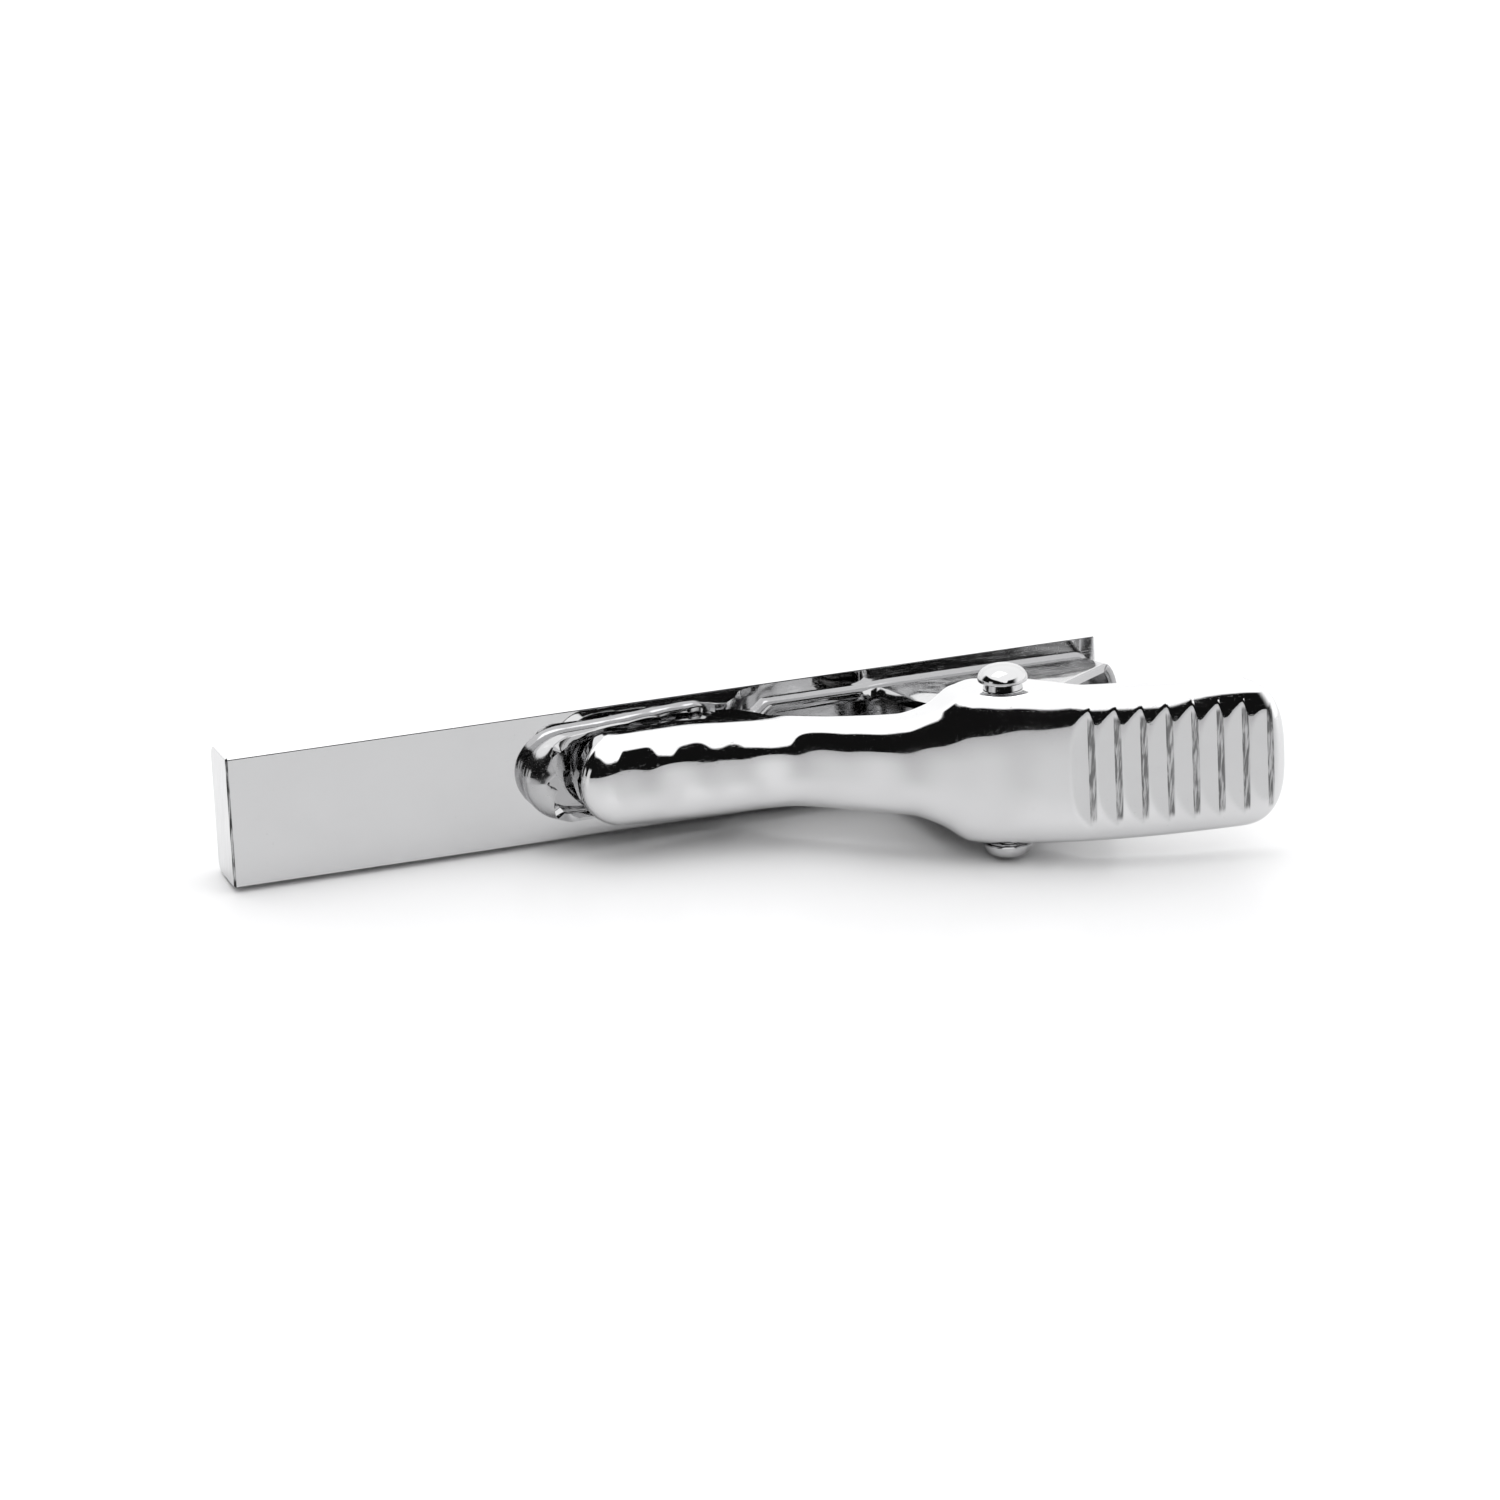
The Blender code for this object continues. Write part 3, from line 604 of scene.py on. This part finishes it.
# %% The lever's surface and rim
TOOTH_PITCH = 1.75
TEETH_ACROSS = 1.16      # nose teeth in each half width of the jaws
JAW_HALF_WIDTH = 2.45
TOOTH_FADE = 2.5
SCALLOP_DEPTH = 0.14
LEVER_TOOTH = 0.22
LEVER_TEETH_LENGTH = 2.0
LEVER_JAW_END_X = 26.6
SHOULDER_X = 37.0
SHOULDER_LENGTH = 5.0
POLISH_WAVE = 0.034


def scallop(x, start):
    """Round bites along the side rims."""
    return SCALLOP_DEPTH * abs(math.sin(math.pi * (x - start) / TOOTH_PITCH))


def nose_tooth(x, z, nose_x, reach, depth):
    """Two pointed teeth on each jaw, fading out where the side rims begin."""
    if x > nose_x + reach:
        return 0.0
    wave = 1 - abs((TEETH_ACROSS * z / JAW_HALF_WIDTH) % 1.0 * 2 - 1)
    return depth * (2 * wave - 1) * min(1.0, TOOTH_FADE * (1 - (x - nose_x) / reach))


def arch(share, power):
    """Drop of a flattened arch: 0 on the spine, 1 at the edge."""
    return 1 - max(1 - share**power, 0.0) ** (1 / power)


def lever_crown(x, z, share):
    """Height of the lever's top: the arch, the polishing waves, and the planes of the steps."""
    on_pad = min(max((x - SHOULDER_X) / SHOULDER_LENGTH, 0.0), 1.0)
    height = lever_top(x) - EDGE_DROP * arch(share, 2.7 + 0.8 * on_pad)
    along = math.sin(1.35 * x + 1.6) + 0.6 * math.sin(2.5 * x + 0.4)
    across = math.sin(math.pi * z / lever_half(x)) * (1 - share**4)
    height += POLISH_WAVE * (1 - on_pad) * along * across
    if step_cut(x) > 0:
        height = min(height, lever_top(x) - step_cut(x))
    return height


def lever_wall(x, z, share):
    """Straight down from the arch to the toothed and scalloped rim."""
    rim = lever_top(x) - lever_depth(x)
    if x < NOSE_X + LEVER_TEETH_LENGTH:
        rim += nose_tooth(x, z, NOSE_X, LEVER_TEETH_LENGTH, LEVER_TOOTH)
    elif x < LEVER_JAW_END_X:
        rim += scallop(x, NOSE_X + LEVER_TEETH_LENGTH)
    top = lever_top(x) - EDGE_DROP
    return x, top + (rim - top) * share, z


def make_lever():
    """Draw the sheet, thicken it and hand it over."""
    rows = lever_outline.rows(0.16, step_rows)
    grid = {"rows": rows, "columns": 45, "rings": 8}
    look = {"crown": lever_crown, "wall": lever_wall, "outward": -1}
    lever = drawn_sheet("lever_press", lever_outline, **grid, **look)
    give_thickness(lever)
    return finish_piece(lever, LEVER_CHROME, "lever", "lever_chrome", "lever", angle=28)


make_lever()

# %% [markdown]
# ## The bracket
# The bracket is soldered to the bar.  Its nose curls over into inward-pointing teeth, its flat
# strip narrows where the lever's last teeth pass, and behind that two ears rise to hold the rivet
# before the rim falls away to the tail.

# %% Lines of the bracket
FLOOR_H = 0.14           # height of the floor's underside above the bar
JAW_X = 15.6
JAW_RIM = 1.4            # rim heights above the floor, at the nose and along the sides
SIDE_RIM = 0.92
SIDE_FALL = 0.22
TEETH_LENGTH = 4.0
JAW_END_X = 25.6
BRACKET_END_X = 47.9
TAIL_RIM = 2.9
EAR_CROWN = 1.3          # metal left round the pin
CROWN_REACH = 0.8        # share of the crown's radius at which the ear's straight sides meet it

bracket_half = line_through(
    (15.6, 2.35), (19.6, 2.45), (25.6, 2.75), (26.6, 1.75), (28.6, 1.75), (29.5, 2.3),
    (34.1, 2.3), (37.1, 2.4), (41.5, 2.4), (47.9, 2.35),
)
bracket_lean = line_through(
    (15.6, 1.35), (18.2, 0.1), (26.6, 0.0), (34.1, 0.0), (37.8, -0.85), (40.8, -0.85), (47.9, -0.3),
)
ear_rise = line_through((34.9, 0.81), (35.3, 1.21), (35.9, 5.0), (36.7, 7.65), (38.26, 9.88))
bracket_outline = Outline(JAW_X, 2.6, BRACKET_END_X, 0.9, bracket_half, 3.0)


def bracket_rim(x):
    """Height of the rim: nose, scalloped side, ear with its round crown, and the slope to the tail."""
    jaw_rim = FLOOR_H + JAW_RIM
    side_rim = FLOOR_H + SIDE_RIM
    side_x = JAW_X + TEETH_LENGTH
    if x < side_x:
        return jaw_rim + (side_rim - jaw_rim) * ((x - JAW_X) / TEETH_LENGTH) ** 2
    if x < JAW_END_X:
        fall = SIDE_FALL * (x - side_x) / (JAW_END_X - side_x)
        return side_rim - fall - scallop(x, side_x)
    if x < PIVOT_X - CROWN_REACH * EAR_CROWN:
        return ear_rise(x)
    if x < PIVOT_X + CROWN_REACH * EAR_CROWN:
        return PIVOT_H + math.sqrt(EAR_CROWN**2 - (x - PIVOT_X) ** 2)
    shoulder = PIVOT_X + CROWN_REACH * EAR_CROWN
    shoulder_h = PIVOT_H + EAR_CROWN * math.sqrt(1 - CROWN_REACH**2)
    share = min((x - shoulder) / (BRACKET_END_X - 0.4 - shoulder), 1.0)
    return shoulder_h + (TAIL_RIM - shoulder_h) * share


# %% [markdown]
# ## The bracket's floor and wall
# The floor is flat and turns up into the wall through a small round.  The wall stands straight along
# the sides, spreads a little at the ears to take the lever between them, and curls inward at the
# nose, where its edge is cut into teeth.

# %% The bracket's floor and wall
FOOT_ROUND = 0.6
FULL_CURL = 1.3          # inward lean at which the nose is a full quarter round
BRACKET_TOOTH = 0.3


def foot_round(x):
    """Radius between floor and wall, smaller where the wall is low."""
    return min(FOOT_ROUND, 0.75 * (bracket_rim(x) - FLOOR_H))


def bracket_floor(x, z, share):
    """Flat, with the round that leads up into the wall."""
    radius = foot_round(x)
    from_edge = (1 - share) * bracket_half(x)
    if from_edge >= radius:
        return FLOOR_H
    return FLOOR_H + radius - math.sqrt(max(radius**2 - (radius - from_edge) ** 2, 0.0))


def bracket_wall(x, z, share):
    """Straight at the sides, curling over at the nose, flaring at the ears."""
    low = FLOOR_H + foot_round(x)
    curl = min(max(bracket_lean(x) / FULL_CURL, 0.0), 1.0)
    over = (1 - curl) * share + curl * (1 - math.cos(0.5 * math.pi * share))
    up = (1 - curl) * share + curl * math.sin(0.5 * math.pi * share)
    tooth = nose_tooth(x, z, JAW_X, bracket_outline.nose, BRACKET_TOOTH)
    lean_in = bracket_lean(x) + tooth * share**2
    new_x, new_z = bracket_outline.inset(x, z, lean_in * over)
    return new_x, low + (bracket_rim(x) - low) * up, new_z


def make_bracket():
    """The same steps as for the lever; its outer side is the one that faces the bar."""
    rows = bracket_outline.rows(0.14)
    grid = {"rows": rows, "columns": 39, "rings": 14}
    look = {"crown": bracket_floor, "wall": bracket_wall, "outward": 1}
    bracket = drawn_sheet("jaw_bracket_press", bracket_outline, **grid, **look)
    give_thickness(bracket)
    return finish_piece(bracket, BRACKET_CHROME, "bar", "bracket_chrome", "jaw_bracket", angle=30)


make_bracket()

# %% [markdown]
# ## The rivet
# One turned pin holds the lever to the ears.  Turning is one profile carried round an axis, so a
# disc is extruded and resized station by station, which leaves a clean ring at every change of
# diameter: shaft, neck, flat rim and domed head.

# %% A turned piece
RIVET_SIDES = 72


def turned(name, profile):
    """Extrude a disc through (radius, height) stations; the last one closes to a point."""
    bpy.ops.object.select_all(action="DESELECT")
    radius, height = profile[0]
    disc = {"vertices": RIVET_SIDES, "radius": radius * MM, "fill_type": "NGON"}
    bpy.ops.mesh.primitive_circle_add(location=(0, 0, height * MM), **disc)
    piece = bpy.context.object
    piece.name = name
    bpy.ops.object.transform_apply(location=True, rotation=False, scale=False)
    bpy.ops.object.mode_set(mode="EDIT")
    bpy.ops.mesh.select_all(action="SELECT")
    for next_radius, next_height in profile[1:]:
        rise = (0, 0, (next_height - height) * MM)
        bpy.ops.mesh.extrude_region_move(TRANSFORM_OT_translate={"value": rise})
        grow = next_radius / radius
        bpy.ops.transform.resize(value=(grow, grow, 1), center_override=(0, 0, next_height * MM))
        radius, height = next_radius, next_height
    bpy.ops.mesh.merge(type="CENTER")
    bpy.ops.mesh.select_all(action="SELECT")
    bpy.ops.mesh.normals_make_consistent(inside=False)
    bpy.ops.object.mode_set(mode="OBJECT")
    return piece


# %% [markdown]
# ## The rivet's two ends
# The upper head stands clear of the lever on a darker neck, and the lower one sits close.  Both
# halves start as a disc in the middle of the pin.  The lower one is mirrored, the two discs are
# deleted, and their rims are merged into one pin.

# %% The rivet
PIN_RADIUS = 0.85
COLLAR_START = 4.12
COLLAR_RADIUS = 1.06
NECK_RADIUS = 1.0
HEAD_SEAT = 4.1
HEAD_RADIUS = 1.315
HEAD_RIM = 0.12
HEAD_DOME = 0.74
RIM_ROUND = 0.05
DOME_STEPS = 14


def head():
    """Stations of a domed head from its underside up, with a small round at the rim."""
    stations = [(HEAD_RADIUS - RIM_ROUND, 0.0), (HEAD_RADIUS, RIM_ROUND), (HEAD_RADIUS, HEAD_RIM)]
    for k in range(1, DOME_STEPS):
        angle = 0.5 * math.pi * k / DOME_STEPS
        radius = HEAD_RADIUS * math.cos(angle) ** 0.9
        stations.append((radius, HEAD_RIM + HEAD_DOME * math.sin(angle)))
    stations.append((0.02, HEAD_RIM + HEAD_DOME))
    return stations


def make_rivet():
    """Both heads grow from the middle of the pin, and are then joined into one piece."""
    halves = []
    for side, lift in ((1, 0.42), (-1, 0.12)):
        seat = HEAD_SEAT + lift
        profile = [(PIN_RADIUS, 0.0), (PIN_RADIUS, COLLAR_START), (COLLAR_RADIUS - 0.02, COLLAR_START)]
        profile += [(NECK_RADIUS, seat - 0.08), (COLLAR_RADIUS, seat)]
        profile += [(radius, seat + z) for radius, z in head()]
        half = turned("rivet_half", profile)
        half.scale = (1, 1, side)
        half.location = Vector((PIVOT_X, -PIVOT_H, CENTRE_Z)) * MM
        halves.append(half)
    alone(halves[0])
    halves[1].select_set(True)
    bpy.ops.object.transform_apply(location=True, rotation=True, scale=True)
    bpy.ops.object.join()
    rivet = bpy.context.object
    rivet.name = "turned_rivet"
    shape = edit(rivet, "FACE")
    for face in shape.faces:
        face.select_set(abs(face.calc_center_median().z - CENTRE_Z * MM) < 1e-6)
    bpy.ops.mesh.delete(type="ONLY_FACE")
    bpy.ops.mesh.select_all(action="SELECT")
    bpy.ops.mesh.remove_doubles(threshold=1e-7)
    bpy.ops.mesh.normals_make_consistent(inside=False)
    done(rivet)
    return finish_piece(rivet, RIVET_CHROME, "bar", "rivet_chrome", "hinge_rivet", angle=32)


make_rivet()

# %% [markdown]
# ## The spring
# A torsion spring sits round the pin, hidden by the lever: a few turns of hard wire with one leg on
# the bracket's floor and the other under the thumb pad.  A curve with a round bevel is wire by
# definition, and it becomes a mesh once its path is right.  The mesh is left fixed where it stands
# and does not twist with the lever.

# %% The spring
WIRE_RADIUS = 0.18
COIL_RADIUS = 1.15       # to the centre of the wire
COIL_TURNS = 6
COIL_PITCH = 0.42
COIL_START = math.radians(-60)
TURN_STEPS = 24
LEG_STEPS = 7
FOOT_X = BRACKET_END_X - 2.4
FOOT_LENGTH = 0.9
FLOOR_GAP = 0.04         # from the wire to the bracket's floor
PAD_GAP = 0.14           # from the wire to the pad's underside
PAD_LEG_X = (41.7, 42.9, 44.1, 45.3, 46.5)


def spring_path():
    """Lower leg, coil and upper leg as (x, h, z) points."""
    low = CENTRE_Z - 0.5 * COIL_TURNS * COIL_PITCH
    high = low + COIL_TURNS * COIL_PITCH
    floor = FLOOR_H + SHEET + WIRE_RADIUS + FLOOR_GAP
    coil_x = PIVOT_X + COIL_RADIUS * math.cos(COIL_START)
    coil_h = PIVOT_H + COIL_RADIUS * math.sin(COIL_START)
    path = [(FOOT_X + FOOT_LENGTH, floor + 0.02, low)]
    for k in range(LEG_STEPS):
        u = k / LEG_STEPS
        path.append((FOOT_X + (coil_x - FOOT_X) * u, floor + (coil_h - floor) * u, low))
    sweep = 2 * math.pi * COIL_TURNS - math.radians(60)
    for k in range(COIL_TURNS * TURN_STEPS + 1):
        u = k / (COIL_TURNS * TURN_STEPS)
        angle = COIL_START - sweep * u
        x = PIVOT_X + COIL_RADIUS * math.cos(angle)
        h = PIVOT_H + COIL_RADIUS * math.sin(angle)
        path.append((x, h, low + COIL_TURNS * COIL_PITCH * u))
    for x in PAD_LEG_X:
        path.append((x, lever_top(x) - 1.25 * SHEET - WIRE_RADIUS - PAD_GAP, high))
    return path


def make_spring():
    """A round bevel along the path, turned into a mesh and left fixed in place."""
    line = bpy.data.curves.new("spring_line", "CURVE")
    line.dimensions = "3D"
    line.bevel_depth = WIRE_RADIUS * MM
    line.bevel_resolution = 5
    line.use_fill_caps = True
    spline = line.splines.new("POLY")
    path = spring_path()
    spline.points.add(len(path) - 1)
    for point, (x, h, z) in zip(spline.points, path):
        point.co = (x * MM, -h * MM, z * MM, 1.0)
    spring = bpy.data.objects.new("wound_spring", line)
    bpy.context.scene.collection.objects.link(spring)
    alone(spring)
    bpy.ops.object.convert(target="MESH")
    spring = bpy.context.object
    edit(spring)
    bpy.ops.mesh.select_all(action="SELECT")
    bpy.ops.mesh.remove_doubles(threshold=1e-6)
    bpy.ops.mesh.normals_make_consistent(inside=False)
    done(spring)
    reach = 0.5 * COIL_TURNS * COIL_PITCH - WIRE_RADIUS
    middle = Vector((PIVOT_X, -PIVOT_H, CENTRE_Z)) * MM
    ends = [STAND @ (middle + Vector((0, 0, side * reach * MM))) for side in (-1, 1)]
    return finish_piece(spring, SPRING_STEEL, ends, "spring_steel", "torsion_spring", angle=50)


make_spring()

# %% [markdown]
# ## The solder
# A thin layer of tin holds the bracket to the bar.  Only its edge could ever be seen, so the packed
# part is kept as it is and only given its finish: grey, dull and slightly rough.

# %% The solder
solder = frame["nodes"]["solder_layer"]
solder.data.materials.clear()
solder.data.materials.append(TIN)
print("solder_layer keeps its packed shape")

# %% [markdown]
# ## The table
# Chrome shows its surroundings, so the studio matters as much as the metal.  The table fills the
# lower half of every reflection.  It is plain and pale with a faint gloss, and large enough to have
# no edge in view.

# %% Table
def make_table():
    """A large plane with one plain finish."""
    bpy.ops.object.select_all(action="DESELECT")
    bpy.ops.mesh.primitive_plane_add(size=4.0)
    table = bpy.context.object
    table.name = "table"
    material = bpy.data.materials.new("pale_table")
    material.use_nodes = True
    shader = material.node_tree.nodes["Principled BSDF"]
    shader.inputs["Base Color"].default_value = (0.76, 0.76, 0.765, 1.0)
    shader.inputs["Roughness"].default_value = 0.25
    shader.inputs["Specular IOR Level"].default_value = 0.15
    table.data.materials.append(material)
    print("table laid")


make_table()

# %% [markdown]
# ## The tent
# A bright tent stands over and behind the clip.  Towards the viewer and to the left it stops short
# and leaves a dark opening above the table: that is the black band along the lever.  The tent's
# lower edge hangs lower where the thumb pad looks.  All of it is painted on the world by direction.

# %% Tent
TENT_WHITE = 1.6
FAR_WALL_LOSS = 0.2      # the tent's far wall is a little dimmer low down
OPENING_DEPTH = 0.995    # how dark the opening is
SLIT_LIGHT = 0.6         # light through a slit in the left side


def make_tent():
    """A world whose strength depends on direction: x right, y away from the viewer, z up."""
    world = bpy.data.worlds.new("tent")
    bpy.context.scene.world = world
    world.use_nodes = True
    tree = world.node_tree
    sky = tree.nodes["Background"]
    x, y, z = Signal.node(tree, "ShaderNodeTexCoord", out="Generated").parts()
    to_left = 0.0 - x
    to_viewer = 0.0 - y
    front = to_viewer.between(0.05, 0.35) * (1.0 - x.between(0.45, 0.85))
    left = to_left.between(0.45, 0.6) * (1.0 - y.between(0.5, 0.7))
    tent_edge = 0.25 + 0.36 * x.between(-0.04, 0.13) + 0.40 * to_left.between(0.10, 0.75)
    roof = (z - tent_edge).between(-0.03, 0.05)
    slit = to_left.between(0.6, 0.7) * to_viewer.between(0.05, 0.12)
    slit = slit * (1.0 - to_viewer.between(0.35, 0.42)) * (1.0 - z.between(0.2, 0.3))
    opening = (1.0 - (1.0 - front) * (1.0 - left)) * (1.0 - roof) * (1.0 - SLIT_LIGHT * slit)
    far_wall = y.between(0.2, 0.7) * (1.0 - z.between(0.2, 0.55))
    light = (TENT_WHITE - FAR_WALL_LOSS * far_wall) * (1.0 - OPENING_DEPTH * opening)
    tree.links.new(light.socket, sky.inputs["Strength"])
    sky.inputs["Color"].default_value = (1.0, 1.0, 1.0, 1.0)
    print("tent hung")


make_tent()

# %% [markdown]
# ## The lamp
# One broad lamp above and behind adds the soft shadows that fall towards the viewer.  It is weak,
# because the tent does most of the lighting.

# %% Overhead lamp
LAMP_PLACE = Vector((-0.05, 0.10, 0.42))
LAMP_SIZE = (0.30, 0.22)
LAMP_POWER = 0.35


def add_lamp():
    """A rectangular lamp aimed at the clip."""
    lamp = bpy.data.lights.new("overhead_lamp", "AREA")
    lamp.shape = "RECTANGLE"
    lamp.size, lamp.size_y = LAMP_SIZE
    lamp.energy = LAMP_POWER
    holder = bpy.data.objects.new("overhead_lamp", lamp)
    bpy.context.scene.collection.objects.link(holder)
    holder.location = LAMP_PLACE
    holder.rotation_euler = (-LAMP_PLACE).to_track_quat("-Z", "Y").to_euler()
    print("lamp of", LAMP_POWER, "watts")


add_lamp()
bpy.context.scene.view_settings.view_transform = "Standard"

# %% [markdown]
# ## The camera
# A long lens from a little above and to the left keeps the bar's long edges nearly parallel.

# %% Camera
CAMERA_AIM = Vector((1.487, 4.516, 4.106)) * MM
CAMERA_AZIMUTH = math.radians(18.85)
CAMERA_ELEVATION = math.radians(24.02)
CAMERA_ROLL = math.radians(-0.39)
CAMERA_DISTANCE = 361.85 * MM
CAMERA_LENS = 165.15


def make_camera():
    """Aim the camera at the clip's middle, then roll it a little."""
    lens = bpy.data.cameras.new("camera")
    lens.lens = CAMERA_LENS
    lens.sensor_width = 36.0
    lens.clip_start = 0.01
    lens.clip_end = 20.0
    camera = bpy.data.objects.new("camera", lens)
    bpy.context.scene.collection.objects.link(camera)
    flat = math.cos(CAMERA_ELEVATION)
    east = math.sin(CAMERA_AZIMUTH) * flat
    north = math.cos(CAMERA_AZIMUTH) * flat
    ahead = Vector((east, north, -math.sin(CAMERA_ELEVATION)))
    aimed = ahead.to_track_quat("-Z", "Y").to_matrix().to_4x4()
    rolled = aimed @ Matrix.Rotation(CAMERA_ROLL, 4, "Z")
    camera.matrix_world = Matrix.Translation(CAMERA_AIM - ahead * CAMERA_DISTANCE) @ rolled
    bpy.context.scene.camera = camera
    print("camera", round(CAMERA_DISTANCE, 3), "metres away")


make_camera()
